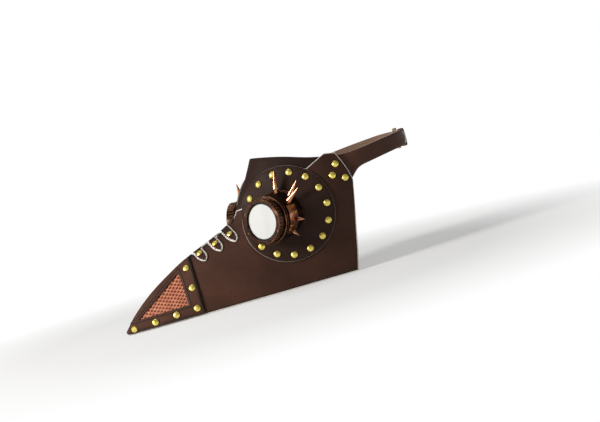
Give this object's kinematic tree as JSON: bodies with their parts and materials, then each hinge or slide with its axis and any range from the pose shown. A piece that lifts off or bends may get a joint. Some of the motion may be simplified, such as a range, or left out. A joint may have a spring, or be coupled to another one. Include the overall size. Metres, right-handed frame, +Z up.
{
  "type": "plague doctor mask",
  "caption": "Beaked leather plague doctor mask with round riveted eye patches, spiked copper goggles, ridge tabs, a vented beak tip cover and a buckled head strap.",
  "frame": {"origin": "on the rest plane and the plane of symmetry, below the bridge of the nose", "axes": "-Y towards the beak tip, +X towards the wearer's left, +Z up; the lower edges of the mask lie in the plane z = 0"},
  "size_m": [0.1938, 0.4243, 0.1706],
  "materials": {
    "panel_leather": "smooth dark brown leather",
    "forehead_leather": "smooth dark brown leather",
    "floor_leather": "smooth dark brown leather",
    "patch_leather": "smooth dark brown leather",
    "tab_leather": "smooth dark brown leather with pale raw edges",
    "cover_leather": "smooth dark brown leather with pale raw edges",
    "strap_leather": "smooth dark brown leather",
    "lining_cloth": "black woven tape",
    "copper_mesh": "copper-coloured pressed mesh",
    "rivet_brass": "polished brass",
    "lens_glass": "clear glass",
    "gasket_rubber": "black rubber",
    "buckle_brass": "aged brass",
    "bright_copper": "antique copper, polished high spots",
    "antique_copper": "antique copper, dark patina"
  },
  "bodies": {
    "mask_shell": {"beak_tip_cover": "cover_leather", "beak_tip_through_rivet": "rivet_brass", "forehead_panel": "forehead_leather", "front_ridge_tab": "tab_leather", "left_eye_patch": "patch_leather", "left_goggle_collar": "antique_copper", "left_goggle_cup": "antique_copper", "left_goggle_nut": "antique_copper", "left_goggle_spikes": "bright_copper", "left_goggle_vent_plate": "bright_copper", "left_head_strap": "strap_leather", "left_patch_rivets": "rivet_brass", "left_side_panel": "panel_leather", "left_tab_rivets": "rivet_brass", "left_temple_rivets": "rivet_brass", "left_tip_rivets": "rivet_brass", "left_vent_mesh": "copper_mesh", "middle_ridge_tab": "tab_leather", "rear_ridge_tab": "tab_leather", "ridge_lining": "lining_cloth", "right_eye_patch": "patch_leather", "right_goggle_collar": "antique_copper", "right_goggle_cup": "antique_copper", "right_goggle_nut": "antique_copper", "right_goggle_spikes": "bright_copper", "right_goggle_vent_plate": "bright_copper", "right_head_strap": "strap_leather", "right_patch_rivets": "rivet_brass", "right_side_panel": "panel_leather", "right_tab_rivets": "rivet_brass", "right_temple_rivets": "rivet_brass", "right_tip_rivets": "rivet_brass", "right_vent_mesh": "copper_mesh", "underside_panel": "panel_leather"},
    "left_lens": {"left_goggle_lens": "lens_glass", "left_goggle_gasket": "gasket_rubber"},
    "left_bezel": {"left_goggle_bezel": "antique_copper"},
    "right_lens": {"right_goggle_lens": "lens_glass", "right_goggle_gasket": "gasket_rubber"},
    "right_bezel": {"right_goggle_bezel": "antique_copper"},
    "buckle_frame_body": {"buckle_frame": "buckle_brass"},
    "buckle_prong_body": {"buckle_prong": "buckle_brass"},
    "keeper": {"strap_keeper": "strap_leather"}
  },
  "joints": [
    {"name": "left_lens_travel", "type": "slide", "parent": "mask_shell", "child": "left_lens", "axis": [0.5714, -0.816, 0.0872], "range_m": [0, 0.00301]},
    {"name": "left_bezel_turn", "type": "hinge", "parent": "left_lens", "child": "left_bezel", "pos_m": [0.06623, 0.02059, 0.09176], "axis": [0.5714, -0.816, 0.0872], "range_deg": [0, 720]},
    {"name": "right_lens_travel", "type": "slide", "parent": "mask_shell", "child": "right_lens", "axis": [-0.5714, -0.816, 0.0872], "range_m": [0, 0.00301]},
    {"name": "right_bezel_turn", "type": "hinge", "parent": "right_lens", "child": "right_bezel", "pos_m": [-0.06623, 0.02059, 0.09176], "axis": [-0.5714, -0.816, 0.0872], "range_deg": [0, 720]},
    {"name": "buckle_tilt", "type": "hinge", "parent": "mask_shell", "child": "buckle_frame_body", "pos_m": [0.002, 0.234, 0.1436], "axis": [0, 0, -1], "range_deg": [0, 5]},
    {"name": "prong_lift", "type": "hinge", "parent": "buckle_frame_body", "child": "buckle_prong_body", "pos_m": [0.002, 0.234, 0.1436], "axis": [0, 0, -1], "range_deg": [0, 10]},
    {"name": "keeper_slide", "type": "slide", "parent": "mask_shell", "child": "keeper", "axis": [1, 0, 0], "range_m": [-0.001, 0.0006]}
  ],
  "couplings": [
    {"joint": "left_lens_travel", "follows": "left_bezel_turn", "m_per_rad": 0.00023873},
    {"joint": "right_lens_travel", "follows": "right_bezel_turn", "m_per_rad": 0.00023873}
  ]
}
